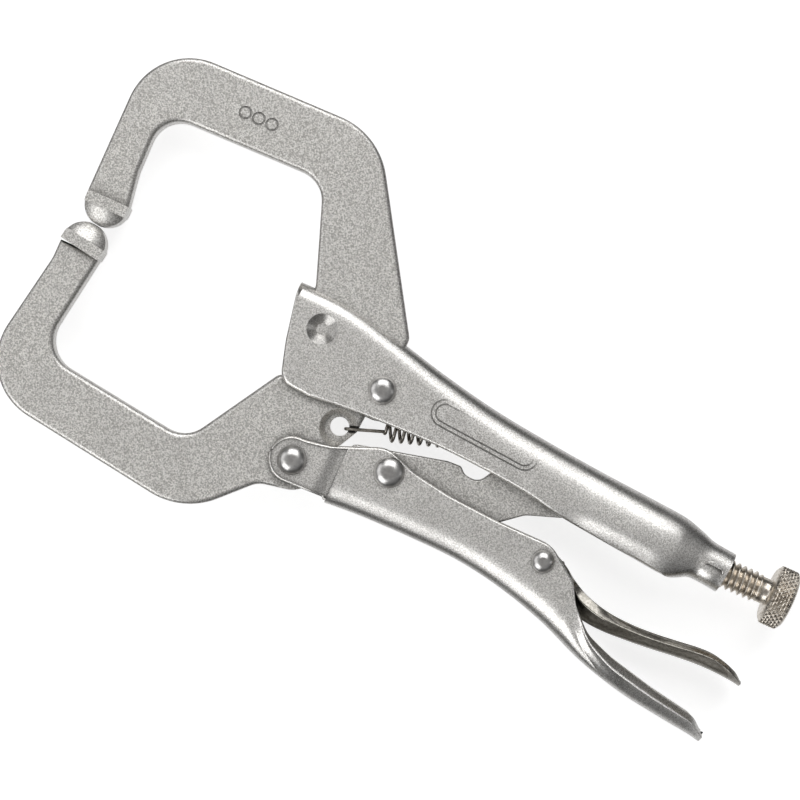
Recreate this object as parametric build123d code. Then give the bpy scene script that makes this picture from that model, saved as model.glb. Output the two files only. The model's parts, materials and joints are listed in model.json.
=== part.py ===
from build123d import *
import os
from math import radians, sin

# Locking pliers with C-clamp jaws, locked shut. Millimetres.
# The tool lies on its side: +X runs along the adjusting screw to the knob, +Y to the upper jaw,
# +Z out of the bench. Parts are drawn about the jaw pivot, at mid-thickness, and moved at the end.

# Driving dimensions
PLATE_HALF = 3.2          # half the thickness of the forged jaws
CHEEK_IN = 3.35           # inner and outer half widths of the upper handle and the lower ears
CHEEK_OUT = 4.95
BODY_OUT = 4.2            # outer half width of the lower channel behind its ears
LINK_HALF = 2.4           # half the thickness of the toggle link
SHEET = CHEEK_OUT - CHEEK_IN
PAD_HALF = 4.6            # half the width of the jaw tips
RUN = 0.06                # radial play of a moving part on its rivet
SNUG = 0.02               # radial play of a rivet in the parts it holds
THREAD_PLAY = 0.08        # radial play of the screw in its nut

# Pivots and the screw axis
JAW_PIVOT = (0.0, 0.0)
TOGGLE_PIVOT = (-10.65, -19.95)
LINK_PIVOT = (7.95, -14.25)
RELEASE_PIVOT = (43.1, -17.75)
SCREW_Y = -4.95

# Adjusting screw, with a 1/4 in thread shown as a plain rod
THREAD_R = 3.1
SCREW_TIP_X = 55.7
SCREW_SPLIT_X = 59.0
KNOB_X = 86.85
KNOB_LENGTH = 4.85
KNOB_R = 6.2
KNOB_CHAMFER = 0.9
SOCKET_END_X = 78.35
BORE_START_X = 69.0

# Rivets: centre, shank radius, head radius, head height and half the grip between the heads
JAW_SHANK_R = 2.0
LINK_SHANK_R = 2.2
RELEASE_SHANK_R = 1.5
RIVETS = {
    "jaw_pivot_rivet": (JAW_PIVOT, JAW_SHANK_R, 2.85, 1.35, CHEEK_OUT + 0.02),
    "toggle_pivot_rivet": (TOGGLE_PIVOT, JAW_SHANK_R, 2.85, 1.35, CHEEK_OUT + 0.02),
    "link_pivot_rivet": (LINK_PIVOT, LINK_SHANK_R, 3.1, 1.35, BODY_OUT + 0.08),
    "release_pivot_rivet": (RELEASE_PIVOT, RELEASE_SHANK_R, 2.3, 1.1, BODY_OUT + 0.35),
}
CROWN_R = 0.9             # flat on the top of a rivet head


# Tension spring from the lower jaw's eye to a tab in the upper handle
SPRING_FRONT = (-3.4, -9.95)
SPRING_REAR = (19.4, -1.9)
COIL_START = (4.6, -7.1)
COIL_END = (16.6, -3.1)
SPRING_SLOPE = 19.6       # degrees
COIL_R = 2.05
WIRE_R = 0.35
TAB_OFFSET = 0.9          # from the wire's end to the middle of the tab

# ---------------------------------------------------------------- helpers

def outline(corners):
    """Closed face in the XY plane from corners given as (x, y, radius)."""
    points = [(x, y) for x, y, _ in corners]
    return make_face(FilletPolyline(*points, radius=[r for _, _, r in corners], close=True))


def slab(corners, half):
    """Outline extruded to both sides of the middle plane."""
    return extrude(outline(corners), amount=half, both=True)


def curve_face(upper, lower):
    """Face between two smooth curves, given left to right."""
    top = Spline(*upper)
    bottom = Spline(*lower)
    right = Line(upper[-1], lower[-1])
    left = Line(lower[0], upper[0])
    return make_face(Curve() + [top, right, bottom, left])


def rod_z(centre, radius, half):
    """Cylinder along Z, centred on the middle plane."""
    return Pos(centre[0], centre[1], 0) * Cylinder(radius, 2 * half)


def rod_x(x0, x1, radius):
    """Cylinder along X on the screw axis."""
    return Pos((x0 + x1) / 2, SCREW_Y, 0) * Rot(0, 90, 0) * Cylinder(radius, x1 - x0)


def both_sides(shape):
    """A shape and its mirror image across the middle plane."""
    return shape + mirror(shape, Plane.XY)


def soften(part, radius, z):
    """Round the edges of the flat faces at +z and -z."""
    edges = part.edges().filter_by_position(Axis.Z, z - 0.01, z + 0.01)
    edges += part.edges().filter_by_position(Axis.Z, -z - 0.01, -z + 0.01)
    return fillet(edges, radius)


def channel_section(x, top, bottom, half, top_r, bottom_r, bulge):
    """Rounded cross-section of a folded channel, in the plane across X."""
    side_top = top - top_r
    side_bottom = bottom + bottom_r
    middle = (side_top + side_bottom) / 2
    plane = Plane(origin=(x, 0, 0), x_dir=(0, 1, 0), z_dir=(1, 0, 0))
    inset = 1 - sin(radians(45))
    edges = []
    for s in (1, -1):
        upper = (side_top, s * half)
        lower = (side_bottom, s * half)
        if bulge:
            edges.append(ThreePointArc(upper, (middle, s * (half + bulge)), lower))
        else:
            edges.append(Line(upper, lower))
        low_bend = (bottom + inset * bottom_r, s * (half - inset * bottom_r))
        edges.append(ThreePointArc(lower, low_bend, (bottom, s * (half - bottom_r))))
        top_bend = (top - inset * top_r, s * (half - inset * top_r))
        edges.append(ThreePointArc(upper, top_bend, (top, s * (half - top_r))))
    edges.append(Line((top, half - top_r), (top, top_r - half)))
    edges.append(Line((bottom, half - bottom_r), (bottom, bottom_r - half)))
    return plane * make_face(edges)


def tip_pad(half):
    """Working tip of a jaw: a round boss facing down, domed below its flat band, centre at the origin."""
    boss = rod_z((0, 0), PAD_R, half) + Pos(0, PAD_STEP / 2, 0) * Box(2 * PAD_R, PAD_STEP, 2 * half)
    front = Pos(0, DOME_TOP_Y - PAD_R, 0) * Box(3 * PAD_R, 2 * PAD_R, 3 * half)
    dome = Pos(0, DOME_Y, -DOME_Z) * Sphere(DOME_R) & Pos(0, DOME_Y, DOME_Z) * Sphere(DOME_R)
    above = Pos(0, PAD_STEP + PAD_R, 0) * Box(3 * PAD_R, 2 * PAD_R, 3 * half)
    return boss - above - (front - dome)


# ---------------------------------------------------------------- jaws

PAD_R = 4.35
PAD_STEP = 1.4            # from the boss centre up to the step where it meets the plate
DOME_TOP_Y = -0.9         # where the dome starts, below the boss centre
DOME_R = 7.63             # radius of the shallow dome on each side
DOME_Y = 1.33             # centre of the domes, above the boss centre
DOME_Z = 2.7              # distance of each dome's centre behind the mid-plane
UPPER_PAD = (-65.25, 10.95)
LOWER_PAD = (-66.25, 2.15)
LOWER_PAD_TURN = 171.6
SEAT_R = 8.1              # hollow in the upper jaw around the pivot lobe
LOBE_R = 6.2
EDGE_R = 1.0              # rounding of the jaws' long edges
DIMPLE = (-15.9, 6.15)
DIMPLE_R = 3.1
DIMPLE_FLOOR_R = 1.2
DIMPLE_DEPTH = 1.5
OVERCUT = 0.3             # how far a dimple's cone is carried past its face
MARK_FRONT = (-47.6, 39.1)
MARK_PITCH = 2.9
SPRING_EYE = (-4.8, -10.05)
SPRING_EYE_R = 1.9
TOGGLE_EAR_R = 6.0


def dimple_cone(grow, z_top, over):
    """Cone that narrows inward from the cheek at +z_top, carried on past it by over."""
    slope = (DIMPLE_R - DIMPLE_FLOOR_R) / DIMPLE_DEPTH
    return Pos(DIMPLE[0], DIMPLE[1], z_top - (DIMPLE_DEPTH - over) / 2) * Cone(
        DIMPLE_FLOOR_R + grow, DIMPLE_R + grow + slope * over, DIMPLE_DEPTH + over)


def upper_jaw():
    """C-shaped forged arm whose shank is held in the front of the upper handle."""
    plate = slab([
        (-69.9, 11.0, 0), (-70.05, 45.3, 13), (-21.55, 46.45, 15), (0.75, 11.6, 2.2), (0.75, 1.6, 0),
        (-19.85, 1.6, 1.0), (-20.7, 13.6, 2.0), (-28.05, 33.35, 6.5), (-62.45, 32.45, 6), (-62.2, 19.5, 12),
        (-60.95, 12.2, 1.5), (-61.5, 11.0, 0)], PLATE_HALF)
    plate = soften(plate, EDGE_R, PLATE_HALF)
    plate -= rod_z(JAW_PIVOT, SEAT_R, CHEEK_OUT)
    plate -= both_sides(dimple_cone(0.05, CHEEK_IN, 0))
    ring = Cylinder(1.35, 0.5) - Cylinder(0.95, 0.5)
    for spot in range(3):
        plate -= Pos(MARK_FRONT[0] + MARK_PITCH * spot, MARK_FRONT[1], PLATE_HALF) * ring
    return plate + Pos(UPPER_PAD[0], UPPER_PAD[1], 0) * tip_pad(PAD_HALF)


def lower_jaw():
    """C-shaped forged arm that turns on the jaw pivot and carries the lower handle."""
    arm = slab([
        (-70.75, 1.0, 0), (-70.75, -3.0, 6), (-75.65, -32.0, 13), (-26.2, -38.6, 15), (-15.0, -27.0, 5),
        (-9.6, -25.9, 2), (-5.2, -22.4, 2.5), (-4.8, -15.4, 2), (-3.05, -13.3, 0.6), (-1.2, -9.7, 0.8),
        (-0.75, -4.0, 0), (-9.0, -3.4, 3), (-20.0, -5.4, 2.3), (-31.7, -25.1, 6.5), (-65.15, -21.0, 6.5),
        (-62.0, 1.0, 0)], PLATE_HALF)
    arm = soften(arm, EDGE_R, PLATE_HALF)
    arm += rod_z(JAW_PIVOT, LOBE_R, PLATE_HALF)
    arm += rod_z(TOGGLE_PIVOT, TOGGLE_EAR_R, PLATE_HALF)
    arm -= both_sides(Pos(-4.85, -10.35, PLATE_HALF - 0.95) * Cone(2.75, 3.9, 2.0))
    arm -= rod_z(SPRING_EYE, SPRING_EYE_R, PLATE_HALF)
    arm -= Pos(-2.0, -9.45, PLATE_HALF / 2 - 0.4) * Rot(0, 0, SPRING_SLOPE) * Box(6.0, 1.5, PLATE_HALF + 0.8)
    for centre in (JAW_PIVOT, TOGGLE_PIVOT):
        arm -= rod_z(centre, JAW_SHANK_R + RUN, PLATE_HALF)
    return arm + Pos(LOWER_PAD[0], LOWER_PAD[1], 0) * Rot(0, 0, LOWER_PAD_TURN) * tip_pad(PAD_HALF)


# ---------------------------------------------------------------- handles

# Cross-sections of the upper handle: x, back, open edge, half width, bend radii and bulge of the sides
UPPER_SECTIONS = [
    (-24.5, 13.1, -9.5, CHEEK_OUT, 3.0, 1.0, 0.0),
    (-13.0, 12.8, -9.5, CHEEK_OUT, 3.0, 1.0, 0.0),
    (-1.0, 10.5, -9.4, CHEEK_OUT, 3.0, 1.0, 0.0),
    (11.0, 7.8, -9.3, CHEEK_OUT, 3.0, 1.0, 0.0),
    (23.0, 5.65, -9.2, CHEEK_OUT, 3.0, 1.0, 0.0),
    (35.0, 4.3, -9.1, CHEEK_OUT, 3.1, 1.0, 0.1),
    (44.0, 3.5, -9.0, CHEEK_OUT, 3.3, 1.3, 0.45),
    (52.0, 2.95, -9.3, 5.0, 3.5, 1.6, 0.8),
    (60.0, 2.45, -9.8, 5.0, 3.6, 1.8, 1.0),
    (66.5, 2.05, -10.35, 4.95, 3.6, 1.9, 0.95),
    (70.0, 1.15, -9.7, 4.65, 3.6, 2.5, 0.5),
    (73.0, 0.1, -9.0, 4.35, 3.7, 3.6, 0.05),
    (76.0, -0.3, -9.15, 4.3, 3.8, 3.8, 0.03),
    (79.5, -0.7, -9.3, 4.3, 3.8, 3.8, 0.03),
]
# Lower edge of its cheeks, front to rear
UPPER_EDGE = [(-13.0, -7.1), (-5.45, -6.3), (4.55, -5.75), (14.55, -5.55), (24.55, -5.95), (34.55, -6.8),
              (41.55, -8.35), (52.0, -9.2), (62.0, -9.95), (66.5, -10.35)]


def upper_profile():
    """Side view of the upper handle: front corner, cheek edges, and the cut end of the nut."""
    corners = [(-13.0, 16.0), (-23.55, 16.0), (-23.55, 10.6), (-21.6, 1.2), (-19.3, -6.6), UPPER_EDGE[0]]
    front = FilletPolyline(*corners, radius=[0, 2, 10, 3.4])
    edge = Spline(*UPPER_EDGE)
    rear = Polyline(UPPER_EDGE[-1], (68.5, -12.0), (SOCKET_END_X - 0.75, -12.0), (SOCKET_END_X - 0.75, -9.0),
                    (SOCKET_END_X, -4.0), (SOCKET_END_X, 16.0), (-13.0, 16.0))
    return make_face(Curve() + [front, edge, rear])


def upper_cavity():
    """Inside of the upper handle, running out through its open edge."""
    sections = []
    for x, top, bottom, half, top_r, bottom_r, bulge in UPPER_SECTIONS[:10]:
        sections.append(channel_section(
            x, top - SHEET, bottom - 3.0, half - SHEET, top_r - 1.3, 1.0, bulge))
    sections.append(channel_section(70.5, -1.6, -7.6, 2.9, 2.4, 2.4, 0.0))
    return loft(sections)


def upper_handle():
    """Folded channel over the upper jaw's shank, necked at the rear into the screw's nut."""
    shell = loft([channel_section(*section) for section in UPPER_SECTIONS])
    profile = extrude(upper_profile(), amount=8, both=True)
    shell = shell & profile
    shell -= upper_cavity()
    shell -= rod_x(BORE_START_X, SOCKET_END_X + 1, THREAD_R + THREAD_PLAY)
    shell -= Pos(-9.85, 12.0, 0) * Box(21.9, 9.0, 2 * CHEEK_IN)
    shell += both_sides(dimple_cone(0, CHEEK_IN, OVERCUT))
    shell -= both_sides(dimple_cone(0, CHEEK_OUT, OVERCUT))
    shell -= rod_z(JAW_PIVOT, JAW_SHANK_R + SNUG, CHEEK_OUT + 1)
    return shell + spring_tab() - cartouche()


def spring_tab():
    """Tongue hanging from the back of the upper handle, with a hole for the spring's rear hook."""
    x = SPRING_REAR[0] + TAB_OFFSET
    tab = Pos(x, 1.6, 0) * Box(1.2, 8.4, 3.0)
    return tab - Pos(x, SPRING_REAR[1], 0) * Rot(0, 90, 0) * Cylinder(0.6, 3)


def cartouche():
    """Plain stadium-shaped double groove pressed in the outer cheek."""
    place = Pos(22.2, 0.35, CHEEK_OUT - 0.1) * Rot(0, 0, -4)
    groove = SlotOverall(23.4, 5.4) - SlotOverall(22.7, 4.7)
    groove += SlotOverall(21.6, 3.6) - SlotOverall(21.0, 3.0)
    return place * extrude(groove, amount=0.5)


# Cross-sections of the lower handle: x, back, half width, bend radius and bulge of the sides
LOWER_SECTIONS = [
    (-17.0, -29.0, CHEEK_OUT, 1.2, 0.0),
    (-4.6, -29.0, CHEEK_OUT, 1.2, 0.0),
    (-1.4, -25.15, BODY_OUT, 3.7, 0.0),
    (8.0, -24.6, BODY_OUT, 3.8, 0.0),
    (18.0, -24.45, BODY_OUT, 3.8, 0.0),
    (28.0, -24.75, BODY_OUT, 3.8, 0.0),
    (38.0, -26.3, BODY_OUT, 3.8, 0.1),
    (48.0, -29.0, 4.45, 4.0, 0.15),
    (58.0, -32.8, 4.8, 4.1, 0.15),
    (68.0, -35.2, 4.95, 4.1, 0.1),
    (78.0, -36.5, 4.95, 4.0, 0.03),
    (87.5, -37.4, 4.8, 3.8, 0.03),
]
JOGGLED = 3               # the first sections: straight ears, then the step in to the body
LOWER_MOUTH = -8.0        # above every edge of the lower handle
LIP_HALF = 5.6            # half width over the flared lips of the tail


def lower_cheeks():
    """Side view of the lower handle down to its tail, with the ear around the toggle pivot."""
    return slab([
        (-15.25, -15.35, 4.6), (-9.5, -15.25, 8), (-4.5, -14.25, 8), (5.8, -9.9, 5.5), (12.8, -12.4, 12),
        (21.0, -13.6, 30), (32.0, -14.25, 40), (43.6, -14.2, 5), (50.4, -19.1, 2), (52.6, -22.9, 8),
        (57.3, -28.0, 10), (64.0, -30.9, 25), (74.0, -33.2, 30), (83.2, -34.6, 4), (86.5, -36.9, 0),
        (86.4, -38.5, 0), (-1.4, -38.5, 0), (-1.5, -25.2, 0.2), (-2.2, -24.2, 0.4), (-8.0, -24.4, 4),
        (-15.4, -24.6, 4.6)], 8)


def lower_lip():
    """Flared lips along both sides of the tail and round its end."""
    upper = [(57.0, -26.75), (59.55, -28.15), (64.55, -29.9), (69.55, -31.25), (74.55, -32.25),
             (79.55, -32.9), (84.0, -33.9), (86.4, -35.6)]
    lower = [(57.6, -28.3), (59.9, -29.5), (64.3, -31.15), (69.3, -32.5), (74.3, -33.5),
             (79.3, -34.15), (83.4, -35.2), (85.4, -37.2)]
    return extrude(curve_face(upper, lower), amount=LIP_HALF, both=True)


def lower_channel(gap, mouth, extra):
    """Channel of the lower handle, drawn in by gap and run on by extra: ears ruled, body smooth."""
    faces = []
    for x, back, half, bend, bulge in LOWER_SECTIONS:
        if x == LOWER_SECTIONS[0][0]:
            x -= extra
        if x == LOWER_SECTIONS[-1][0]:
            x += extra
        faces.append(channel_section(x, mouth, back + gap, half - gap, 0.8, max(bend - gap, 0.6), bulge))
    return loft(faces[:JOGGLED], ruled=True) + loft(faces[JOGGLED - 1:])


def lower_handle():
    """Folded channel below the linkage, with ears on the lower jaw and a tail flared for the hand."""
    cavity = lower_channel(SHEET, LOWER_MOUTH + 3, 1.0)
    tail_end = Pos(90.0, -30.0, 0) * Box(8.0, 40.0, 20.0)
    channel = (lower_channel(0, LOWER_MOUTH, 0) - cavity) & lower_cheeks()
    lip = lower_lip() - (cavity - tail_end)
    body = channel + lip
    for name in ("toggle_pivot_rivet", "link_pivot_rivet", "release_pivot_rivet"):
        centre, radius = RIVETS[name][:2]
        body -= rod_z(centre, radius + SNUG, CHEEK_OUT + 1)
    return body


# ---------------------------------------------------------------- link, lever, screw, spring

LEVER_HALF = 2.4
LEVER_TAIL_HALF = 3.9
LEVER_SHEET = 1.2


def toggle_link():
    """Flat bar from the lower handle up to the screw's point; its front toe is the opening stop."""
    bar = slab([
        (-1.3, -12.5, 0.8), (0.1, -11.85, 0), (17.8, -7.45, 3), (20.6, -7.3, 0.6), (22.0, -8.6, 2.4),
        (25.0, -8.7, 2.4), (27.0, -5.4, 2), (34.0, -2.6, 6), (44.0, -1.6, 6), (53.1, -1.8, 2.8),
        (53.1, -8.1, 2.8), (45.5, -7.5, 8), (36.2, -10.9, 4), (32.0, -14.4, 2), (30.8, -16.6, 1.6),
        (20.0, -17.4, 8), (8.5, -18.6, 4), (1.2, -16.6, 4)], LINK_HALF)
    bar = soften(bar, 0.4, LINK_HALF)
    return bar - rod_z(LINK_PIVOT, LINK_SHANK_R + RUN, LINK_HALF + 1)


def release_lever():
    """Folded lever: nose under the link, pivot, and a long gutter-shaped tail between the handles."""
    upper = [(50.0, -18.4), (54.55, -20.4), (59.55, -21.65), (64.55, -22.0), (69.55, -21.8),
             (74.55, -21.25), (79.55, -20.65), (83.05, -20.7), (87.05, -21.9), (89.2, -23.6)]
    lower = [(50.5, -23.4), (55.15, -25.2), (59.55, -25.65), (64.55, -25.4), (69.55, -25.0),
             (74.55, -24.4), (79.55, -23.95), (83.55, -23.9), (87.5, -24.1), (88.85, -24.3)]
    tail = extrude(curve_face(upper, lower), amount=LEVER_TAIL_HALF, both=True)
    waist = slab([
        (51.0, -18.95, 0), (51.0, -12.0, 0), (47.0, -12.0, 0), (47.0, -30.0, 0), (53.5, -30.0, 0),
        (57.5, -24.0, 4), (55.0, -20.5, 4)], 8)
    core = slab([(46.0, -10.0, 0), (60.0, -10.0, 0), (60.0, -32.0, 0), (46.0, -32.0, 0)], LEVER_HALF)
    tail -= waist - core
    front = slab([
        (33.6, -18.3, 0.8), (38.5, -17.2, 3), (41.6, -14.9, 2), (45.2, -15.0, 3), (51.0, -18.9, 0),
        (51.0, -23.6, 0), (42.0, -21.2, 6), (33.6, -20.6, 0.8)], LEVER_HALF)
    lever = tail + front
    hollow_top = [(36.0, -10.0), (60.0, -15.0), (90.0, -15.0)]
    hollow_bottom = [
        (36.0, -19.3), (42.0, -19.9), (50.5, -22.2), (55.15, -24.0), (59.55, -24.45), (64.55, -24.2),
        (69.55, -23.8), (74.55, -23.2), (79.55, -22.75), (83.55, -22.7), (87.2, -23.0)]
    hollow_face = make_face(Curve() + [
        Polyline(*hollow_top), Line(hollow_top[-1], hollow_bottom[-1]), Spline(*hollow_bottom),
        Line(hollow_bottom[0], hollow_top[0])])
    lever -= extrude(hollow_face, amount=LEVER_HALF - LEVER_SHEET, both=True)
    return lever - rod_z(RELEASE_PIVOT, RELEASE_SHANK_R + RUN, LEVER_HALF + 1)


def rivet(centre, shank_r, head_r, head_h, half_grip):
    """Round-headed rivet along Z."""
    body = rod_z(centre, shank_r, half_grip + 0.2)
    profile = make_face(Curve() + [
        Polyline((CROWN_R, head_h), (0, head_h), (0, 0), (head_r, 0)),
        ThreePointArc((head_r, 0), (0.72 * head_r, 0.68 * head_h), (CROWN_R, head_h))])
    head = Pos(centre[0], centre[1], half_grip) * revolve(Plane.XZ * profile, Axis.Z)
    return body + head + mirror(head, Plane.XY)


def screw_point():
    """Plain turned point of the adjusting screw, which the link bears on."""
    point = rod_x(SCREW_TIP_X, SCREW_SPLIT_X - 0.02, 2.4)
    return chamfer(point.edges().sort_by(Axis.X)[0], 0.8)


def adjusting_screw():
    """Threaded rod with its knurled knob."""
    rod = rod_x(SCREW_SPLIT_X, KNOB_X + 0.1, THREAD_R)
    knob = rod_x(KNOB_X, KNOB_X + KNOB_LENGTH, KNOB_R)
    rims = knob.edges().filter_by(GeomType.CIRCLE)
    return rod + chamfer(rims, KNOB_CHAMFER)


def bar_between(start, end, radius):
    """Round bar between two points in the middle plane."""
    path = Line((*start, 0), (*end, 0))
    return sweep(Plane(origin=path @ 0, z_dir=path % 0) * Circle(radius), path)


def tension_spring():
    """Outer shape of the coil and its two straight ends."""
    coil = bar_between(COIL_START, COIL_END, COIL_R)
    return coil + bar_between(SPRING_FRONT, COIL_START, WIRE_R) + bar_between(COIL_END, SPRING_REAR, WIRE_R)


# ---------------------------------------------------------------- assembly

def assembly():
    """Every node about the jaw pivot at mid-thickness."""
    nodes = {
        "upper_handle": upper_handle(),
        "upper_jaw": upper_jaw(),
        "lower_jaw": lower_jaw(),
        "lower_handle": lower_handle(),
        "toggle_link": toggle_link(),
        "release_lever": release_lever(),
        "screw_point": screw_point(),
        "adjusting_screw": adjusting_screw(),
        "tension_spring": tension_spring(),
    }
    for name, sizes in RIVETS.items():
        nodes[name] = rivet(*sizes)
    return nodes


def main():
    nodes = assembly()
    solids = [solid for part in nodes.values() for solid in part.solids()]
    box = Compound(children=solids).bounding_box()
    shift = Vector(-(box.min.X + box.max.X) / 2, -(box.min.Y + box.max.Y) / 2, -box.min.Z)
    os.makedirs("parts", exist_ok=True)
    for name, part in nodes.items():
        export_step(Pos(shift) * part, f"parts/{name}.step")
    print("jaw pivot is at", tuple(round(v, 3) for v in (shift.X, shift.Y, shift.Z)))


if __name__ == "__main__":
    main()
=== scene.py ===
import json
import math

import bmesh
import bpy
from mathutils import Matrix, Vector

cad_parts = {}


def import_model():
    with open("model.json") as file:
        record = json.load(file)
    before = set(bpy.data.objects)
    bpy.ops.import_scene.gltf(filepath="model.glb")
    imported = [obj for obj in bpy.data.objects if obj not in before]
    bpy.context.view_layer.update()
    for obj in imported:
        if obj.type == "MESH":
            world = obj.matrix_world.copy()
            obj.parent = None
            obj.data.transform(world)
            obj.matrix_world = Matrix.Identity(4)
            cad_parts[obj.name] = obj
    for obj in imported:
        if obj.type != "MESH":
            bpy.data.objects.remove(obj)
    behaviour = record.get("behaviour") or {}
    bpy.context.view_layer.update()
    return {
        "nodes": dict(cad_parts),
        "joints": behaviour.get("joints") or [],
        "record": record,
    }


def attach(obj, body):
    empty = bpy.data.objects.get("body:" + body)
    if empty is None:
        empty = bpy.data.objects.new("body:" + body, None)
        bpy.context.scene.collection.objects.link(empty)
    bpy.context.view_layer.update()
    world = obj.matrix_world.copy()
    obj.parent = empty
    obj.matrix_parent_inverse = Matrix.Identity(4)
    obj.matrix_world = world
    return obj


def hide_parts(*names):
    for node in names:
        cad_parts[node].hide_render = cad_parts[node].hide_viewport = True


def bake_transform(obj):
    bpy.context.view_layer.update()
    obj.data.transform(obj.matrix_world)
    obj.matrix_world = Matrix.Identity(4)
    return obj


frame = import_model()

MM = 0.001
JOINTS = {joint["name"]: joint for joint in frame["joints"]}
PIVOT = Vector(JOINTS["jaw_open"]["pos_m"])
SCREW_AXIS = Vector(JOINTS["screw_turn"]["pos_m"])


def at(x, y, z=0.0):
    """Point given in millimetres from the jaw pivot, at mid-thickness."""
    return PIVOT + Vector((x, y, z)) * MM


# ---------------------------------------------------------------- shader helpers

class Shader:
    """A material's node tree with short calls for the nodes used here."""

    def __init__(self, name, roughness, metallic=1.0):
        self.material = bpy.data.materials.new(name)
        self.material.use_nodes = True
        self.tree = self.material.node_tree
        self.surface = self.tree.nodes["Principled BSDF"]
        self.surface.inputs["Metallic"].default_value = metallic
        self.surface.inputs["Roughness"].default_value = roughness
        self.place = self.tree.nodes.new("ShaderNodeTexCoord").outputs["Object"]

    def node(self, kind, values=(), links=(), **settings):
        made = self.tree.nodes.new(kind)
        for key, value in settings.items():
            setattr(made, key, value)
        for key, value in dict(values).items():
            made.inputs[key].default_value = value
        for key, source in dict(links).items():
            self.tree.links.new(source, made.inputs[key])
        return made

    def noise(self, size_mm, detail=3.0, roughness=0.55):
        """Noise whose blobs are about size_mm across, from 0 to 1."""
        return self.node(
            "ShaderNodeTexNoise", {"Scale": 1000.0 / size_mm, "Detail": detail, "Roughness": roughness},
            {"Vector": self.place}).outputs["Fac"]

    def ramp(self, source, low, high, start=0.3, end=0.7):
        """Grey ramp from low to high as source goes from start to end."""
        return self.node(
            "ShaderNodeMapRange", {"From Min": start, "From Max": end, "To Min": low, "To Max": high},
            {"Value": source}).outputs["Result"]

    def tint(self, source, dark, light):
        """Colour between dark and light by source."""
        mix = self.node("ShaderNodeMix", data_type="RGBA")
        mix.inputs["A"].default_value = (*dark, 1)
        mix.inputs["B"].default_value = (*light, 1)
        self.tree.links.new(source, mix.inputs["Factor"])
        return mix.outputs["Result"]

    def bump(self, height, depth_mm):
        return self.node(
            "ShaderNodeBump", {"Distance": depth_mm * MM,
                               "Strength": 1.0}, {"Height": height}).outputs["Normal"]

    def set(self, **sources):
        for key, source in sources.items():
            self.tree.links.new(source, self.surface.inputs[key.replace("_", " ")])
        return self.material


def nickel(name, dark, light, flat_gloss, bend_gloss, grain_mm, grain_depth, shade_gaps=True):
    """Nickel plate over blasted steel: grainy and matte on the flat faces, rubbed smoother on the bends."""
    shader = Shader(name, flat_gloss)
    fine = shader.noise(grain_mm, 2.0, 0.6)
    coarse = shader.noise(grain_mm * 1.9, 2.0, 0.5)
    blotches = shader.noise(7.0, 3.0)
    split = shader.node("ShaderNodeSeparateXYZ")
    facing = shader.node("ShaderNodeTexCoord").outputs["Normal"]
    shader.tree.links.new(facing, split.inputs["Vector"])
    size = shader.node("ShaderNodeMath", {}, {0: split.outputs["Z"]}, operation="ABSOLUTE").outputs["Value"]
    flatness = shader.ramp(size, 0.0, 1.0, 0.93, 0.995)
    gloss = shader.ramp(flatness, bend_gloss, flat_gloss, 0.0, 1.0)
    worn = shader.node(
        "ShaderNodeMath", {}, {0: gloss, 1: shader.ramp(blotches, 0.88, 1.12)},
        operation="MULTIPLY").outputs["Value"]
    tone = shader.node(
        "ShaderNodeMath", {1: 0.5}, {0: fine, 2: shader.ramp(coarse, 0.0, 0.5)},
        operation="MULTIPLY_ADD").outputs["Value"]
    colour = shader.tint(shader.ramp(tone, 0.0, 1.0, 0.34, 0.66), dark, light)
    # painted shade: ambient occlusion darkens the colour in the narrow gaps between parts
    if shade_gaps:
        colour = with_painted_gap_shade(shader, colour)
    depth = shader.node(
        "ShaderNodeMath", {}, {0: tone, 1: shader.ramp(flatness, 0.45, 1.0, 0.0, 1.0)},
        operation="MULTIPLY").outputs["Value"]
    return shader.set(Base_Color=colour, Roughness=worn, Normal=shader.bump(depth, grain_depth))


def with_painted_gap_shade(shader, colour):
    """Paints shade into a colour in the narrow gaps: ambient occlusion mixes it towards near black."""
    gap = shader.node("ShaderNodeAmbientOcclusion", {"Distance": 1.6 * MM}, samples=4)
    gap_shade = shader.node("ShaderNodeMix", data_type="RGBA")
    shader.tree.links.new(shader.ramp(gap.outputs["AO"], 0.0, 1.0, 0.25, 0.85), gap_shade.inputs["Factor"])
    # near-black colour of the painted shade in the occluded gaps
    gap_shade.inputs["A"].default_value = (0.09, 0.085, 0.08, 1)
    shader.tree.links.new(colour, gap_shade.inputs["B"])
    return gap_shade.outputs["Result"]


def forged_nickel():
    return nickel("forged_nickel", (0.52, 0.505, 0.48), (1.0, 0.985, 0.955), 0.60, 0.42, 0.15, 0.055)


def folded_nickel():
    return nickel("folded_nickel", (0.56, 0.545, 0.52), (1.0, 0.985, 0.96), 0.60, 0.31, 0.14, 0.05)


def lever_nickel_painted_shade():
    # darker base colour than the other nickel: painted shade standing in for the dark horizon the lever's
    # tilted sides mirror
    return nickel("lever_nickel_painted_shade", (0.31, 0.295, 0.265), (0.47, 0.45, 0.41), 0.28, 0.20, 0.3, 0.006)


def polished_nickel():
    return nickel("polished_nickel", (0.66, 0.65, 0.64), (0.80, 0.79, 0.775), 0.30, 0.30, 0.4, 0.012)


def screw_nickel():
    return nickel("screw_nickel", (0.56, 0.50, 0.43), (0.88, 0.82, 0.73), 0.30, 0.27, 0.3, 0.008, False)


def spring_steel():
    return nickel("spring_steel", (0.27, 0.25, 0.22), (0.42, 0.395, 0.36), 0.28, 0.26, 0.3, 0.006, False)


# ---------------------------------------------------------------- mesh helpers

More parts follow.
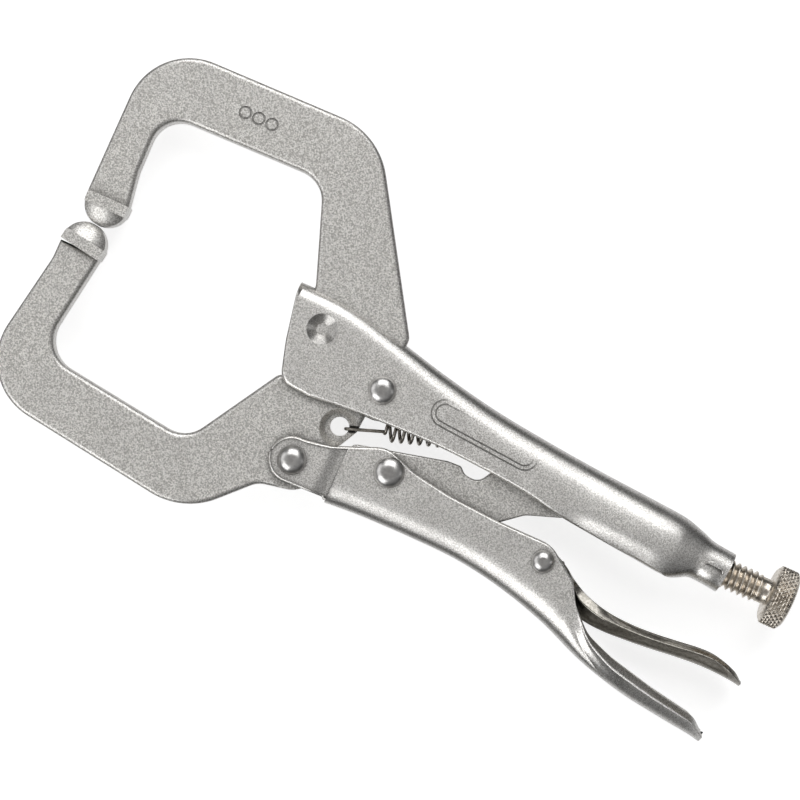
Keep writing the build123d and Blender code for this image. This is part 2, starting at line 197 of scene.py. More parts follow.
def mesh_piece(name, verts, faces, material, body):
    mesh = bpy.data.meshes.new(name)
    mesh.from_pydata(verts, [], faces)
    bm = bmesh.new()
    bm.from_mesh(mesh)
    bmesh.ops.recalc_face_normals(bm, faces=bm.faces)
    bm.to_mesh(mesh)
    bm.free()
    mesh.materials.append(material)
    piece = bpy.data.objects.new(name, mesh)
    bpy.context.scene.collection.objects.link(piece)
    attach(piece, body)
    return piece


def shade_smooth(piece, angle=40):
    """Smooth shading with edges sharper than angle kept."""
    for face in piece.data.polygons:
        face.use_smooth = True
    piece.data.set_sharp_from_angle(angle=math.radians(angle))


# ---------------------------------------------------------------- folded sheet

def smoothstep(x, start, end):
    u = min(max((x - start) / (end - start), 0.0), 1.0)
    return u * u * (3 - 2 * u)


def curve_through(rows):
    """Smooth function of x through rows of (x, value)."""
    xs = [row[0] for row in rows]
    ys = [row[1] for row in rows]
    slopes = []
    for i in range(len(rows)):
        lo, hi = max(i - 1, 0), min(i + 1, len(rows) - 1)
        slopes.append((ys[hi] - ys[lo]) / (xs[hi] - xs[lo]))

    def value(x):
        x = min(max(x, xs[0]), xs[-1])
        i = max(j for j in range(len(xs) - 1) if xs[j] <= x)
        width = xs[i + 1] - xs[i]
        u = (x - xs[i]) / width
        return (ys[i] * (1 + 2 * u) * (1 - u) ** 2 + ys[i + 1] * u * u * (3 - 2 * u)
                + width * (slopes[i] * u * (1 - u) ** 2 - slopes[i + 1] * u * u * (1 - u)))
    return value


def rounded(corners):
    """Closed outline from corners given as (x, y, radius), with the fillets cut into short lines."""
    points = []
    for i, (x, y, radius) in enumerate(corners):
        corner = Vector((x, y))
        before = (Vector(corners[i - 1][:2]) - corner).normalized()
        after = (Vector(corners[(i + 1) % len(corners)][:2]) - corner).normalized()
        half = before.angle(after) / 2
        if radius == 0 or half > 1.56:
            points.append(corner)
            continue
        reach = radius / math.tan(half)
        centre = corner + (before + after).normalized() * radius / math.sin(half)
        start = corner + before * reach - centre
        end = corner + after * reach - centre
        sweep = start.angle_signed(end)
        steps = max(2, int(abs(math.degrees(sweep)) / 7))
        for j in range(steps + 1):
            turn = Matrix.Rotation(-sweep * j / steps, 2)
            points.append(centre + turn @ start)
    return points


def edge_at(points, x, pick):
    """Highest or lowest y of a closed outline at x."""
    found = []
    for one, two in zip(points, points[1:] + points[:1]):
        if min(one.x, two.x) <= x <= max(one.x, two.x) and one.x != two.x:
            found.append(one.y + (two.y - one.y) * (x - one.x) / (two.x - one.x))
    return pick(found)


def half_profile(height, half, bend, tuck, curl, roof, strip):
    """Outer half-section of a channel from the middle of its back to the edge: (distance from the back, z).

    bend is (along the height, across); tuck draws the edge side of the cheek in; curl turns the edge
    on to the middle; roof blends in the ridged section of a flared tail, its ridge strip below the edge."""
    rise, run = bend
    back = [(0.0, (half - run) * i / 4) for i in range(4)]
    arc = []
    for i in range(15):
        turn = math.pi / 2 * i / 14
        arc.append((rise * (1 - math.cos(turn)), half - run + run * math.sin(turn)))
    close = 2.0 + 1.6 * curl
    start = end = 0.0
    top = height
    for _ in range(4):
        start = math.atan(2 * tuck / max(top - rise, 0.5))
        end = start + (math.pi / 2 - start) * curl
        top = height - close * (math.sin(end) - math.sin(start))
    side = [(rise + (top - rise) * i / 24, half - tuck * (i / 24) ** 2) for i in range(1, 25)]
    lip = []
    for i in range(1, 11):
        turn = start + (end - start) * i / 10
        lip.append((top + close * (math.sin(turn) - math.sin(start)),
                    half - tuck - close * (math.cos(start) - math.cos(turn))))
    reach = lip[-1][1]
    flat = [(lip[-1][0], reach + (0.06 - reach) * curl ** 3 * i / 5) for i in range(1, 6)]
    regular = back + arc + side + lip + flat
    if roof == 0:
        return [Vector(point) for point in regular]
    ridge = height - strip
    a, b, c, d = (Vector((0.0, 0.0)), Vector((0.0, half * 0.52)),
                  Vector((ridge * 0.48, half * 0.60)), Vector((ridge, half)))
    count = len(regular)
    ridged = []
    for i in range(count):
        u = (i / (count - 1)) ** 0.9
        ridged.append(a * (1 - u) ** 3 + b * 3 * u * (1 - u) ** 2 + c * 3 * u * u * (1 - u) + d * u ** 3)
    return [Vector(point) * (1 - roof) + other * roof for point, other in zip(regular, ridged)]


def sheet_loop(outer, thick, rim, rounding, steep=1.0, room=0.0):
    """Closed cross-section: the outer half-section, its cut edge, the inside, and all of it mirrored.

    steep stretches the edge's rounding where the edge itself runs steeply between sections;
    room is the half width kept free inside the cheeks for the toggle link."""
    normals = []
    for i in range(len(outer)):
        along = outer[min(i + 1, len(outer) - 1)] - outer[max(i - 1, 0)]
        if along.length < 1e-6:
            along = Vector((1.0, 0.0))
        along.normalize()
        normals.append(Vector((-along.y, along.x)))
    normals[0] = Vector((-1.0, 0.0))
    inner = []
    count = len(outer) - 1
    for i, (point, normal) in enumerate(zip(outer, normals)):
        inward = -normal * thick
        share = smoothstep(i / count, 0.75, 1.0)
        inside = point + inward * (1 - share) + rim * share
        if inside.x > thick:
            inside.y = max(inside.y, room)
        inner.append(inside)
    before = [point for point in outer if (outer[-1] - point).length > 0.3][-1]
    along = (outer[-1] - before).normalized() * rounding * steep
    across = rim.normalized() * rounding
    end, inner_end = outer[-1], inner[-1]
    turns = [math.pi / 2 * i / 5 for i in range(6)]
    first, second = end - along + across, inner_end - along - across
    cut = [first - across * math.cos(turn) + along * math.sin(turn) for turn in turns]
    cut += [second + along * math.cos(turn) + across * math.sin(turn) for turn in turns]
    reach = along.length * 1.05
    keep = [point for point in outer if (end - point).length > reach]
    keep_inner = [point for point in inner if (inner_end - point).length > reach]
    missing = len(outer) - len(keep)
    keep += [keep[-1].lerp(cut[0], (i + 1) / (missing + 1)) for i in range(missing)]
    missing = len(inner) - len(keep_inner)
    keep_inner += [keep_inner[-1].lerp(cut[-1], (i + 1) / (missing + 1)) for i in range(missing)]
    half = keep + cut + keep_inner[::-1]
    other = [Vector((point.x, -point.y)) for point in half[1:-1]]
    return half + other[::-1]


def folded_sheet(name, stations, section, material, body, replaced):
    """Mesh through the cross-sections at the stations: section(x) gives (back y, direction, loop)."""
    loops = []
    for x in stations:
        back, way, loop = section(x)
        lean = 0.1 * smoothstep(x, 74.0, 78.0) if way < 0 else 0.0
        loops.append([at(x + lean * (back + way * point.x), back + way * point.x, point.y) for point in loop])
    count = len(loops[0])
    verts = [point for loop in loops for point in loop]
    piece = mesh_piece(name, verts, tube_faces(len(loops), count), material, body)
    shade_smooth(piece, 35)
    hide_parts(replaced)
    return piece


def cut_away(piece, cutter):
    """Cuts one closed mesh out of another, and drops the cutter."""
    change = piece.modifiers.new("cut", "BOOLEAN")
    change.operation = "DIFFERENCE"
    change.solver = "EXACT"
    change.object = cutter
    mesh = bpy.data.meshes.new_from_object(piece.evaluated_get(bpy.context.evaluated_depsgraph_get()))
    piece.modifiers.clear()
    piece.data = mesh
    bpy.data.objects.remove(cutter)
    shade_smooth(piece, 32)


def cone_cutter(x, y, z0, radius0, z1, radius1):
    """Closed cone frustum along Z."""
    verts = []
    for z, radius in ((z0, radius0), (z1, radius1)):
        verts += [at(x + radius * math.cos(a), y + radius * math.sin(a), z)
                  for a in (2 * math.pi * i / 64 for i in range(64))]
    mesh = bpy.data.meshes.new("cutter")
    mesh.from_pydata(verts, [], tube_faces(2, 64))
    cutter = bpy.data.objects.new("cutter", mesh)
    bpy.context.scene.collection.objects.link(cutter)
    make_outward(mesh)
    return cutter


def make_outward(mesh):
    bm = bmesh.new()
    bm.from_mesh(mesh)
    bmesh.ops.recalc_face_normals(bm, faces=bm.faces)
    bm.to_mesh(mesh)
    bm.free()


def spread(*spans):
    """Stations: (start, end, step) runs one after another."""
    found = []
    for start, end, step in spans:
        count = max(1, round((end - start) / step))
        found += [start + (end - start) * i / count for i in range(count)]
    return found + [spans[-1][1]]


# ---------------------------------------------------------------- upper handle

SHEET = 1.6
CHEEK_OUT = 4.95          # outer half width of the upper handle and the ears
FRONT_END = -13.0         # where the shaped front edge of the upper handle starts
DIMPLE = (-15.9, 6.15)
DIMPLE_Z = (3.45, 5.25)   # cone in each cheek: its two ends, and the radius at each
DIMPLE_R = (1.2, 3.48)
LINK_ROOM = 2.55          # half the thickness of the toggle link, and a little more
UPPER_BACK = [(-24.5, 13.1), (-13.0, 12.8), (-1.0, 10.5), (11.0, 7.8), (23.0, 5.65), (35.0, 4.3),
              (44.0, 3.5),
              (52.0, 2.95), (60.0, 2.45), (66.0, 1.95), (70.0, 0.9), (73.0, -0.1), (76.0, -0.45), (79.5,
                                                                                                   -0.75)]
UPPER_EDGE = [(-13.0, -7.1), (-5.45, -6.3), (4.55, -5.75), (14.55, -5.55), (24.55, -5.95), (34.55, -6.8),
              (41.55, -8.1), (52.0, -9.2), (60.0, -9.9), (65.5, -10.4), (67.4, -10.3), (69.2, -9.6),
              (70.6, -8.85),
              (72.0, -8.7), (76.5, -9.0), (79.5, -9.3)]
UPPER_HALF = [(-24.0, 4.95), (23.0, 4.95), (44.0, 5.05), (52.0, 5.45), (60.0, 5.7), (65.5, 5.55),
              (69.0, 4.75),
              (71.5, 4.1), (74.0, 4.0), (79.5, 4.1)]
UPPER_RISE = [(-24.0, 3.6), (-1.0, 4.6), (23.0, 6.0), (40.0, 7.2), (52.0, 7.4), (62.0, 7.2), (68.0, 6.2),
              (72.0, 4.6), (76.0, 4.2), (79.5, 4.2)]
UPPER_TUCK = [(-24.0, 0.0), (34.0, 0.0), (40.0, 0.4), (47.0, 1.6), (54.0, 2.2), (63.0, 2.2), (68.0, 1.2),
              (72.0, 0.0), (79.5, 0.0)]
UPPER_FRONT = rounded([
    (-13.0, 16.0, 0), (-23.55, 16.0, 0), (-23.55, 10.6, 2), (-21.6, 1.2, 10), (-19.3, -6.6, 3.4),
    (-13.0, -7.1, 0)])


def upper_section():
    back, edge, half = curve_through(UPPER_BACK), curve_through(UPPER_EDGE), curve_through(UPPER_HALF)
    rise, tuck = curve_through(UPPER_RISE), curve_through(UPPER_TUCK)

    def section(x):
        low, steep = edge(x), 1.0
        if x < FRONT_END:
            low = edge_at(UPPER_FRONT, x, min)
            ahead = edge_at(UPPER_FRONT, min(x + 0.05, FRONT_END), min)
            steep = min(math.hypot(1, (low - ahead) / 0.05), 5.0)
        curl = smoothstep(x, 62.0, 71.0)
        run = half(x) - 0.1 - 1.6 * (1 - smoothstep(x, -15, 40))
        height = back(x) - low
        steep = min(steep, max(1.0, 0.35 * height))
        bend = (min(rise(x), height * 0.6), run)
        outer = half_profile(height, half(x), bend, tuck(x), curl, 0, 0)
        room = LINK_ROOM * (1 - smoothstep(x, 57.0, 62.0))
        edge_width = min(SHEET, half(x) - tuck(x) - room)
        rim = Vector((0.0, -edge_width)) * (1 - curl ** 3) + Vector((-1.1, 0.0)) * curl ** 3
        thick = SHEET - 0.5 * curl
        return back(x), -1, sheet_loop(outer, thick, rim, min(0.72 - 0.45 * curl, edge_width * 0.45),
                                       steep, room)
    return section


CARTOUCHE = (22.2, 0.35)
CARTOUCHE_TURN = -4.0
CARTOUCHE_LINES = ((11.7, 2.7), (10.8, 1.8))    # half length and half height of each groove
GROOVE_HALF = 0.16
GROOVE_DEPTH = 0.22
TAB_X = 20.3
TAB_Y = 1.6
TAB_HALF = (0.6, 4.2, 1.5)


def stadium(half_length, half_height, z):
    """Long round-ended loop in the plane of the cheek, turned with the cartouche."""
    turn = Matrix.Rotation(math.radians(CARTOUCHE_TURN), 2)
    loop = []
    for end, first in ((1, -90), (-1, 90)):
        for i in range(25):
            angle = math.radians(first + 7.5 * i)
            point = turn @ Vector((end * (half_length - half_height) + half_height * math.cos(angle),
                                   half_height * math.sin(angle)))
            loop.append(at(CARTOUCHE[0] + point.x, CARTOUCHE[1] + point.y, z))
    return loop


def groove_cutter(half_length, half_height, face):
    """Closed ring with a rectangular section, sunk into the cheek at z = face."""
    loops = []
    for grow, z in ((-GROOVE_HALF, face - GROOVE_DEPTH), (GROOVE_HALF, face - GROOVE_DEPTH),
                    (GROOVE_HALF, face + 1.0), (-GROOVE_HALF, face + 1.0)):
        loops.append(stadium(half_length + grow, half_height + grow, z))
    count = len(loops[0])
    faces = []
    for i in range(4):
        for j in range(count):
            k = (j + 1) % count
            faces.append((i * count + j, i * count + k, (i + 1) % 4 * count + k, (i + 1) % 4 * count + j))
    mesh = bpy.data.meshes.new("cutter")
    mesh.from_pydata([point for loop in loops for point in loop], [], faces)
    cutter = bpy.data.objects.new("cutter", mesh)
    bpy.context.scene.collection.objects.link(cutter)
    make_outward(mesh)
    return cutter


def spring_tab(material):
    """Tab bent in from the back of the handle, which the spring's rear hook holds on to."""
    half_x, half_y, half_z = TAB_HALF
    corners = rounded([(TAB_X - half_x, TAB_Y - half_y, 0.4), (TAB_X + half_x, TAB_Y - half_y, 0.4),
                       (TAB_X + half_x, TAB_Y + half_y, 0.1), (TAB_X - half_x, TAB_Y + half_y, 0.1)])
    verts = [at(point.x, point.y, z) for z in (-half_z, half_z) for point in corners]
    faces = tube_faces(2, len(corners))
    shade_smooth(mesh_piece("spring_tab", verts, faces, material, "root"), 35)


def upper_handle(material):
    stations = spread((-23.5, -22.9, 0.06), (-22.9, -18.0, 0.12), (-18.0, -13.0, 0.3), (-13.0, 60.0, 1.2),
                      (60.0, 78.0, 0.35))
    piece = folded_sheet("upper_handle_sheet", stations, upper_section(), material, "root", "upper_handle")
    for side in (1, -1):
        cut_away(piece,
                 cone_cutter(*DIMPLE, side * DIMPLE_Z[0], DIMPLE_R[0], side * DIMPLE_Z[1], DIMPLE_R[1]))
    for half_length, half_height in CARTOUCHE_LINES:
        cut_away(piece, groove_cutter(half_length, half_height, CHEEK_OUT))
    spring_tab(material)


# ---------------------------------------------------------------- lower handle

LOWER_BACK = [(-1.4, -25.2), (3.0, -24.85), (8.0, -24.6), (18.0, -24.45), (28.0, -24.75), (38.0, -26.3),
              (48.0, -29.0),
              (58.0, -32.8), (68.0, -35.35), (78.0, -36.7), (84.0, -37.35), (86.3, -37.8)]
LOWER_HALF = [(-1.4, 4.2), (38.0, 4.2), (48.0, 4.45), (58.0, 4.9), (68.0, 5.3), (80.0, 5.4), (84.0, 5.0),
              (86.3, 4.2)]
BODY_START = -1.4         # where the channel starts behind the ears
EAR_LOW = -24.6           # lowest edge of the ears
EAR_STEP = 0.75           # how far the cheeks step in behind the ears
EAR_ROUNDING = 0.4
LOWER_OUTLINE = rounded([
    (-15.25, -15.35, 4.6), (-9.5, -15.25, 8), (-4.5, -14.25, 8), (5.8, -9.9, 5.5), (12.8, -12.4, 12),
    (21.0, -13.6, 30), (32.0, -14.25, 40), (43.6, -14.2, 5), (50.4, -19.1, 2), (52.6, -22.9, 8),
    (57.3, -27.2, 10), (64.0, -29.7, 25), (74.0, -31.9, 30), (83.2, -33.4, 4), (86.5, -36.2, 0),
    (86.4, -40.0, 0), (-1.4, -40.0, 0), (-1.5, -25.2, 0.2), (-2.2, -24.2, 0.4), (-8.0, -24.4, 4),
    (-15.4, -24.6, 4.6)])


def lower_section():
    back, half = curve_through(LOWER_BACK), curve_through(LOWER_HALF)

    def section(x):
        top = edge_at(LOWER_OUTLINE, x, max)
        ahead = edge_at(LOWER_OUTLINE, x + 0.1, max)
        steep = min(math.hypot(1, (ahead - top) / 0.1), 3.0)
        roof = smoothstep(x, 48.0, 66.0)
        height = top - back(x)
        strip = min(1.9 * smoothstep(x, 50.0, 60.0), height * 0.35)
        bend = (min(6.8, height * 0.75), half(x) - 0.1)
        outer = half_profile(height, half(x), bend, 0.0, 0.0, roof, strip)
        rim = Vector((0.0, -SHEET)).lerp(Vector((strip, -1.8)), roof)
        room = LINK_ROOM * (1 - smoothstep(x, 34.0, 40.0))
        return back(x), 1, sheet_loop(outer, SHEET, rim, 0.45 - 0.13 * roof, steep + (1 - steep) * roof,
                                      room)
    return section


def lower_handle(material):
    stations = spread((BODY_START, 40.0, 1.0), (40.0, 60.0, 0.4), (60.0, 82.0, 1.0), (82.0, 86.3, 0.2))
    folded_sheet("lower_handle_sheet", stations, lower_section(), material, "lower_handle", "lower_handle")
    for side, end in ((1, "front"), (-1, "back")):
        ear_plate("lower_ear_" + end, side, material)


def ear_plate(name, side, material):
    """Flat ear round the toggle pivot, stepping in to the body of the handle."""
    loops = []
    for x in spread((-15.2, -14.6, 0.06), (-14.6, -11.0, 0.15), (-11.0, -4.6, 0.4),
                    (-4.6, BODY_START, 0.16)):
        low = max(edge_at(LOWER_OUTLINE, x, min), EAR_LOW)
        high = edge_at(LOWER_OUTLINE, x, max)
        next_low = max(edge_at(LOWER_OUTLINE, x + 0.05, min), EAR_LOW)
        next_high = edge_at(LOWER_OUTLINE, x + 0.05, max)
        steep_low = min(math.hypot(1, (next_low - low) / 0.05), 4.0)
        steep_high = min(math.hypot(1, (next_high - high) / 0.05), 4.0)
        outside = CHEEK_OUT - EAR_STEP * smoothstep(x, -5.2, -1.5)
        inside = outside - SHEET
        loop = []
        for y, z, way_y, way_z, steep in (
                (low, inside, 1, 1, steep_low), (low, outside, 1, -1, steep_low),
                (high, outside, -1, -1, steep_high), (high, inside, -1, 1, steep_high)):
            across = EAR_ROUNDING
            along = min(EAR_ROUNDING * steep, (high - low) * 0.4)
            arc = [(along * (1 - math.cos(turn)), across * (1 - math.sin(turn)))
                   for turn in (math.pi / 2 * i / 5 for i in range(6))]
            if way_y * way_z < 0:
                arc.reverse()
            loop += [at(x, y + way_y * dy, side * (z + way_z * dz)) for dy, dz in arc]
        loops.append(loop)
    verts = [point for loop in loops for point in loop]
    faces = tube_faces(len(loops), len(loops[0]))
    shade_smooth(mesh_piece(name, verts, faces, material, "lower_handle"), 35)


# ---------------------------------------------------------------- release lever

LEVER_TOP = [(33.6, -18.3), (36.5, -17.7), (39.5, -16.4), (41.6, -15.2), (44.5, -15.2), (48.0, -16.8),
             (51.0, -18.7),
             (54.55, -20.4), (59.55, -21.65), (64.55, -22.0), (69.55, -21.8), (74.55, -21.25), (79.55,
                                                                                                -20.65),
             (83.05, -20.7), (87.05, -21.9), (89.1, -23.4)]
LEVER_BACK = [(33.6, -20.6), (38.0, -20.8), (42.0, -21.2), (47.0, -22.4), (50.5, -23.8), (55.15, -25.3),
              (59.55, -25.7),
              (64.55, -25.45), (69.55, -25.0), (74.55, -24.4), (79.55, -23.95), (83.55, -23.9), (87.5,
                                                                                                 -24.15),
              (89.1, -24.4)]
LEVER_HALF = [(33.6, 2.4), (50.0, 2.4), (53.0, 2.9), (57.0, 3.7), (61.0, 3.85), (86.0, 3.85), (89.1, 3.2)]
LEVER_STRIP = [(33.6, 2.2), (50.0, 2.6), (55.0, 2.3), (61.0, 1.4), (70.0, 1.1), (89.1, 0.9)]
LEVER_DROP = [(33.6, 0.8), (50.0, 0.9), (55.0, 1.0), (62.0, 1.3), (89.1, 1.2)]


def lever_section():
    top, back, half = curve_through(LEVER_TOP), curve_through(LEVER_BACK), curve_through(LEVER_HALF)
    width, drop = curve_through(LEVER_STRIP), curve_through(LEVER_DROP)

    def section(x):
        roof = smoothstep(x, 47.0, 53.0)
        height = top(x) - back(x)
        strip = min(width(x), height * 0.4) * roof
        bend = (min(1.9, height * 0.6), 1.9)
        outer = half_profile(height, half(x), bend, 0.0, 0.0, roof, strip)
        rim = Vector((0.0, -1.2)).lerp(Vector((strip, -drop(x))), roof)
        return back(x), 1, sheet_loop(outer, 1.1 if height > 1.6 else height * 0.6, rim, 0.25)
    return section


def release_lever(material):
    stations = spread((33.6, 52.0, 0.8), (52.0, 62.0, 0.4), (62.0, 84.0, 0.8), (84.0, 89.1, 0.2))
    folded_sheet("lever_sheet", stations, lever_section(), material, "release_lever", "release_lever")


# ---------------------------------------------------------------- adjusting screw

PITCH = 1.27
THREAD_CREST = 3.05
THREAD_ROOT = 2.35
THREAD_START = 59.2
THREAD_END = 85.2
COLLAR_R = 2.62
KNOB_X0 = 86.85
KNOB_X1 = 91.69
KNOB_R = 6.18
KNURL_PITCH = 1.22
KNURL_DEPTH = 0.34
SIDES = 96


def thread_radius(phase):
    """Radius across one turn of a rounded 60-degree thread."""
    wave = abs(2 * (phase % 1.0) - 1)
    wave = min(max((wave - 0.06) / 0.80, 0), 1)
    return THREAD_ROOT + (THREAD_CREST - THREAD_ROOT) * wave


def screw_point_at(x, radius, angle):
    return SCREW_AXIS + Vector((
        (x - KNOB_X0) * MM, radius * math.cos(angle) * MM, radius * math.sin(angle) * MM))


def tube_faces(rings, sides):
    faces = []
    for i in range(rings - 1):
        for j in range(sides):
            k = (j + 1) % sides
            faces.append((i * sides + j, i * sides + k, (i + 1) * sides + k, (i + 1) * sides + j))
    faces.append(tuple(range(sides)))
    faces.append(tuple((rings - 1) * sides + j for j in reversed(range(sides))))
    return faces


def threaded_rod(material):
    """Right-hand thread that runs out into a plain collar under the knob."""
    steps = 14
    total = int((THREAD_END - THREAD_START) / PITCH * steps)
    verts = []
    for i in range(total + 1):
        for j in range(SIDES):
            turn = j / SIDES
            x = THREAD_START + PITCH * i / steps
            fade = min(max((x - THREAD_END + 1.2) / 1.2, 0), 1)
            radius = thread_radius(i / steps - turn) * (1 - fade) + COLLAR_R * fade
            verts.append(screw_point_at(x, radius, 2 * math.pi * turn))
    for x, radius in ((THREAD_END + 0.5, COLLAR_R), (KNOB_X0 - 0.25, COLLAR_R),
                      (KNOB_X0 + 0.1, COLLAR_R + 0.35)):
        verts.extend(screw_point_at(x, radius, 2 * math.pi * j / SIDES) for j in range(SIDES))
    piece = mesh_piece("screw_rod", verts, tube_faces(total + 4, SIDES), material, "adjusting_screw")
    shade_smooth(piece, 50)
    return piece


def knurl_height(along, around):
    """Height of diamond knurling, 0 in the grooves to 1 on the points."""
    def groove(value):
        return 1 - abs(2 * (value % 1.0) - 1)
    first = groove((around + along) / KNURL_PITCH)
    second = groove((around - along) / KNURL_PITCH)
    return min(min(first, second) / 0.75, 1.0)


def knurled_knob(material):
    """Round knob: plain chamfered ends and diamond knurling between them."""
    sides = 720
    cells = round(2 * math.pi * KNOB_R / KNURL_PITCH)
    ends = [(0.0, COLLAR_R), (0.0, 4.6), (0.05, 5.1), (0.3, 5.55), (0.62, 5.88)]
    rings = list(ends)
    length = KNOB_X1 - KNOB_X0
    inner = 40
    rings += [(0.75 + (length - 1.5) * i / inner, KNOB_R) for i in range(inner + 1)]
    rings += [(length - x, r) for x, r in reversed(ends[1:])]
    rings.append((length, 1.0))
    verts = []
    for x, radius in rings:
        knurled = radius == KNOB_R
        for j in range(sides):
            depth = 0
            if knurled:
                depth = KNURL_DEPTH * (1 - knurl_height(x, j / sides * cells * KNURL_PITCH))
            verts.append(screw_point_at(KNOB_X0 + x, radius - depth, 2 * math.pi * j / sides))
    faces = tube_faces(len(rings), sides)
    shade_smooth(mesh_piece("screw_knob", verts, faces, material, "adjusting_screw"), 35)


# ---------------------------------------------------------------- spring

WIRE_R = 0.36
COIL_MEAN_R = 1.72
COIL_START = Vector((3.6, -7.4, 0.0))
FIRST_TURN = 2.4          # radians over which the wire swings out from the axis to the coil
COIL_END = Vector((16.6, -3.1, 0.0))
SPRING_HOOK = Vector((-3.5, -10.0, 0.0))
SPRING_ANCHOR = Vector((20.3, -1.95, 0.0))
HOOK_BENDS = ((0.0, 0.0, -1.2), (-0.05, 0.0, -0.5), (0.1, 0.05, 0.15), (0.7, 0.25, 0.35))
COIL_PITCH = 1.84


def spring_path():
    """Points of the wire in millimetres: front hook, straight, coil, rear hook."""
    axis = (COIL_END - COIL_START).normalized()
    side = Vector((-axis.y, axis.x, 0.0))
    up = Vector((0.0, 0.0, 1.0))
    points = [SPRING_HOOK + Vector(bend) for bend in HOOK_BENDS]
    length = (COIL_END - COIL_START).length
    turns = length / COIL_PITCH
    steps = int(turns * 24)
    for i in range(steps + 1):
        angle = 2 * math.pi * turns * i / steps
        radius = COIL_MEAN_R * smoothstep(angle, 0.0, FIRST_TURN)
        points.append(COIL_START + axis * (length * i / steps)
                      - side * radius * math.cos(angle) + up * radius * math.sin(angle))
    points += [SPRING_ANCHOR + Vector((-1.2, -0.3, 0.2)), SPRING_ANCHOR + Vector((0.6, 0.05, 0.1)),
               SPRING_ANCHOR + Vector((1.1, 0.1, -0.5))]
    return points


def wire_tube(name, points, radius, material):
    """Round wire along a smooth path, as a mesh."""
    curve = bpy.data.curves.new(name + "_path", "CURVE")
    curve.dimensions = "3D"
    spline = curve.splines.new("POLY")
    spline.points.add(len(points) - 1)
    for target, point in zip(spline.points, points):
        target.co = (*at(*point), 1)
    curve.bevel_depth = radius * MM
    curve.bevel_resolution = 4
    curve.use_fill_caps = True
    holder = bpy.data.objects.new(name + "_path", curve)
    bpy.context.scene.collection.objects.link(holder)
    depsgraph = bpy.context.evaluated_depsgraph_get()
    mesh = bpy.data.meshes.new_from_object(holder.evaluated_get(depsgraph))
    bpy.data.objects.remove(holder)
    mesh.materials.clear()
    mesh.materials.append(material)
    piece = bpy.data.objects.new(name, mesh)
    bpy.context.scene.collection.objects.link(piece)
    shade_smooth(piece, 60)
    return piece


def tension_spring(material):
    piece = wire_tube("spring", spring_path(), WIRE_R, material)
    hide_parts("tension_spring")
    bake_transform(piece)


# ---------------------------------------------------------------- stage

VIEW_CENTRE = (4.0, -0.27)
VIEW_DISTANCE = 594.0
VIEW_ROLL = 24.4
VIEW_WIDTH = 160.0


def camera():
    """Straight down on the tool, turned so that the handles run down to the right."""
    data = bpy.data.cameras.new("camera")
    data.sensor_width = 36.0
    data.lens = data.sensor_width * VIEW_DISTANCE / VIEW_WIDTH
    data.clip_start = 0.01
    data.clip_end = 20.0
    holder = bpy.data.objects.new("camera", data)
    bpy.context.scene.collection.objects.link(holder)
    holder.location = at(*VIEW_CENTRE, VIEW_DISTANCE)
    holder.rotation_euler = (0, 0, math.radians(VIEW_ROLL))
    bpy.context.scene.camera = holder


def softbox(name, azimuth, elevation, width, height, radiance):
    """Rectangular light that faces the tool, seen in its reflections and not by the camera."""
    distance = 0.9
    data = bpy.data.lights.new(name, "AREA")
    data.shape = "RECTANGLE"
    data.size = width
    data.size_y = height
    data.energy = radiance * math.pi * width * height
    holder = bpy.data.objects.new(name, data)
    bpy.context.scene.collection.objects.link(holder)
    a, e = math.radians(azimuth + VIEW_ROLL), math.radians(elevation)
    out = Vector((math.cos(a) * math.cos(e), math.sin(a) * math.cos(e), math.sin(e)))
    holder.location = PIVOT + out * distance
    holder.rotation_euler = out.to_track_quat("Z", "Y").to_euler()
    holder.visible_camera = False


def studio():
    """Pale floor that the metal doesn't mirror."""
    paper = Shader("floor_paper", 0.9, 0.0)
    fibres = paper.noise(1.5, 4.0)
    paper.surface.inputs["Emission Color"].default_value = (1, 1, 1, 1)
    paper.surface.inputs["Emission Strength"].default_value = 0.75
    material = paper.set(
        Base_Color=paper.tint(fibres, (0.62, 0.62, 0.62), (0.66, 0.66, 0.66)),
        Normal=paper.bump(fibres, 0.02))
    bpy.ops.mesh.primitive_circle_add(vertices=96, radius=4.0, fill_type="NGON", location=(0, 0, -0.00005))
    floor = bpy.context.object
    floor.name = "floor"
    floor.data.materials.append(material)
    floor.visible_glossy = False


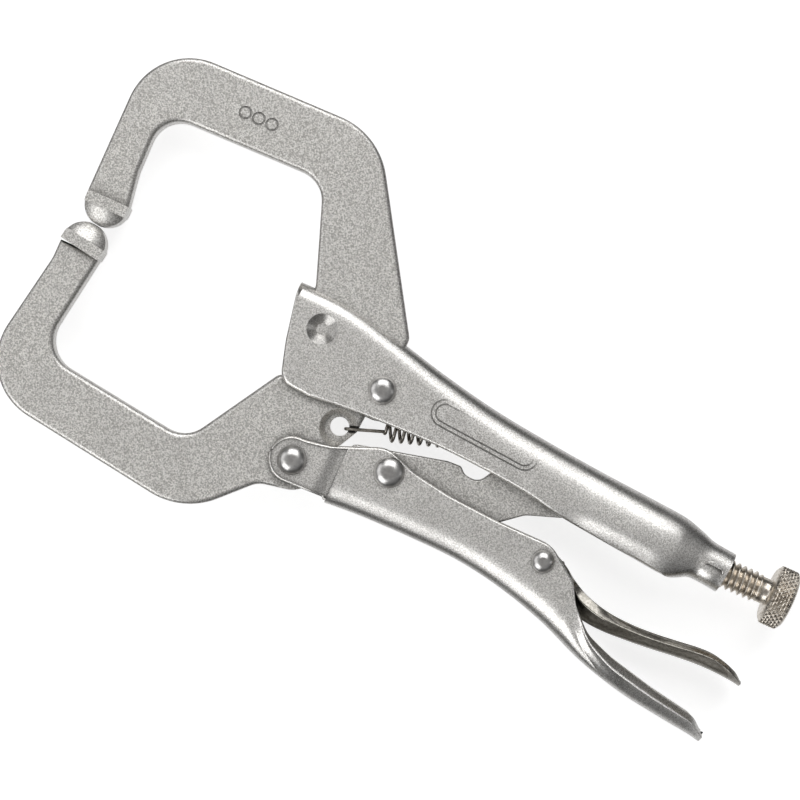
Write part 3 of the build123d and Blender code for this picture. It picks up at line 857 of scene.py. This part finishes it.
def world():
    """Grey room: mid grey overhead, dark round the horizon, pale table below it."""
    made = bpy.data.worlds.new("room")
    bpy.context.scene.world = made
    made.use_nodes = True
    tree = made.node_tree
    place = tree.nodes.new("ShaderNodeTexCoord")
    split = tree.nodes.new("ShaderNodeSeparateXYZ")
    ramp = tree.nodes.new("ShaderNodeValToRGB")
    tree.links.new(place.outputs["Generated"], split.inputs["Vector"])
    height = tree.nodes.new("ShaderNodeMapRange")
    height.inputs["From Min"].default_value = -1.0
    tree.links.new(split.outputs["Z"], height.inputs["Value"])
    tree.links.new(height.outputs["Result"], ramp.inputs["Fac"])
    tree.links.new(ramp.outputs["Color"], tree.nodes["Background"].inputs["Color"])
    stops = ramp.color_ramp.elements
    stops[0].position, stops[0].color = 0.0, (0.85, 0.85, 0.85, 1)
    stops[1].position, stops[1].color = 1.0, (0.25, 0.245, 0.24, 1)
    for position, grey in (
            (0.20, 0.55), (0.36, 0.10), (0.50, 0.03), (0.62, 0.06), (0.75, 0.18), (0.90, 0.27)):
        stop = stops.new(position)
        stop.color = (grey, grey, grey, 1)
    tree.nodes["Background"].inputs["Strength"].default_value = 1.0


# ---------------------------------------------------------------- build

def dress_cad(materials):
    """Gives each CAD node that stays on show its material."""
    slots = {part["node"]: part["material_slot"] for part in frame["record"]["subparts"]}
    for name, node in frame["nodes"].items():
        node.data.materials.clear()
        node.data.materials.append(materials[slots[name]])


materials = {
    "nickel_forging": forged_nickel(),
    "nickel_sheet": folded_nickel(),
    "polished_rivet": polished_nickel(),
    "screw_steel": screw_nickel(),
    "spring_steel": spring_steel(),
}
dress_cad(materials)
rod = threaded_rod(materials["screw_steel"])
knurled_knob(materials["screw_steel"])
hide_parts("adjusting_screw")
tension_spring(materials["spring_steel"])
upper_handle(materials["nickel_sheet"])
lower_handle(materials["nickel_sheet"])
release_lever(lever_nickel_painted_shade())
camera()
studio()
world()
softbox("key", 80, 40, 0.90, 0.80, 1.9)
softbox("fill", 226, 32, 0.66, 0.62, 1.9)
softbox("left", 165, 30, 0.9, 0.50, 0.8)
softbox("right", -8, 20, 0.25, 0.35, 0.45)
bpy.context.scene.view_settings.view_transform = "Standard"
